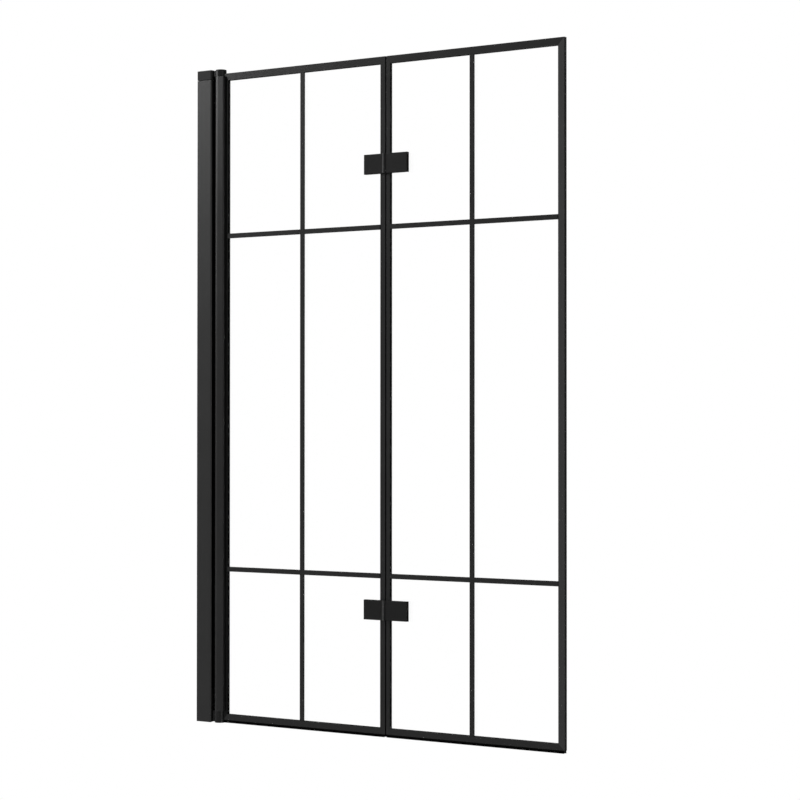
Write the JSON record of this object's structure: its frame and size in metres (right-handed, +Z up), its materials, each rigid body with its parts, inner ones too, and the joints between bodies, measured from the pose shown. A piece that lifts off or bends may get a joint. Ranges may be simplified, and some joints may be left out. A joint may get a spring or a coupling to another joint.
{
  "type": "folding bath screen",
  "caption": "Black-framed folding bath screen: a wall channel, a pivoting glass panel with glazing bars, and a hinged outer panel that folds flat onto it.",
  "frame": {"origin": "on the wall face of the channel, at the centre of its row of wall-screw holes", "axes": "+X leaves the wall along the unfolded screen, -Y faces the bath, +Z is up"},
  "size_m": [0.9, 0.0312, 1.4],
  "materials": {
    "frame_coat": "satin black powder coat on extruded aluminium",
    "hinge_coat": "satin black coat on a cast hinge leaf",
    "cap_plastic": "fine-grained black moulded plastic",
    "clear_glass": "clear toughened glass with polished edges",
    "seal_rubber": "black flexible seal",
    "bar_tape": "black bonding tape",
    "bush_nylon": "natural nylon",
    "fixing_steel": "stainless steel",
    "cleat_aluminium": "mill-finish aluminium"
  },
  "bodies": {
    "wall_frame": {"wall_channel": "frame_coat", "wall_channel_top_cap": "cap_plastic", "wall_channel_foot_plug": "cap_plastic", "adjusting_profile": "frame_coat", "adjusting_screws": "fixing_steel", "adjusting_screw_covers": "cap_plastic", "top_pivot_bracket": "hinge_coat", "bottom_pivot_bracket": "hinge_coat", "pivot_bracket_screws": "fixing_steel", "top_pivot_pin": "fixing_steel", "bottom_pivot_pin": "fixing_steel", "pivot_seal": "seal_rubber"},
    "inner_panel": {"pivot_profile": "frame_coat", "top_pivot_bush": "bush_nylon", "bottom_pivot_bush": "bush_nylon", "pivot_profile_screws": "fixing_steel", "meeting_seal": "seal_rubber", "upper_hinge_pin": "fixing_steel", "lower_hinge_pin": "fixing_steel", "inner_glass": "clear_glass", "inner_top_rail": "frame_coat", "inner_bottom_rail": "frame_coat", "inner_pivot_stile": "frame_coat", "inner_meeting_stile": "frame_coat", "inner_corner_cleats": "cleat_aluminium", "inner_glazing_gasket": "seal_rubber", "inner_vertical_bar": "frame_coat", "inner_cross_bars": "frame_coat", "inner_bar_tape": "bar_tape", "inner_bottom_seal": "seal_rubber", "inner_hinge_back_plates": "hinge_coat", "inner_hinge_pads": "seal_rubber", "inner_hinge_bushes": "bush_nylon", "inner_hinge_screws": "fixing_steel", "upper_hinge_inner_leaf": "hinge_coat", "lower_hinge_inner_leaf": "hinge_coat"},
    "outer_panel": {"hinge_knuckle_bushes": "bush_nylon", "outer_glass": "clear_glass", "outer_top_rail": "frame_coat", "outer_bottom_rail": "frame_coat", "outer_meeting_stile": "frame_coat", "outer_closing_stile": "frame_coat", "outer_corner_cleats": "cleat_aluminium", "outer_glazing_gasket": "seal_rubber", "outer_vertical_bar": "frame_coat", "outer_cross_bars": "frame_coat", "outer_bar_tape": "bar_tape", "outer_bottom_seal": "seal_rubber", "outer_hinge_back_plates": "hinge_coat", "outer_hinge_pads": "seal_rubber", "outer_hinge_bushes": "bush_nylon", "outer_hinge_screws": "fixing_steel", "upper_hinge_outer_leaf": "hinge_coat", "lower_hinge_outer_leaf": "hinge_coat"}
  },
  "joints": [
    {"name": "inner_panel_swing", "type": "hinge", "parent": "wall_frame", "child": "inner_panel", "pos_m": [0.055, 0, 0], "axis": [0, 0, 1], "range_deg": [-90, 90]},
    {"name": "outer_panel_fold", "type": "hinge", "parent": "inner_panel", "child": "outer_panel", "pos_m": [0.4838, -0.0123, 0], "axis": [0, 0, -1], "range_deg": [0, 180]}
  ]
}
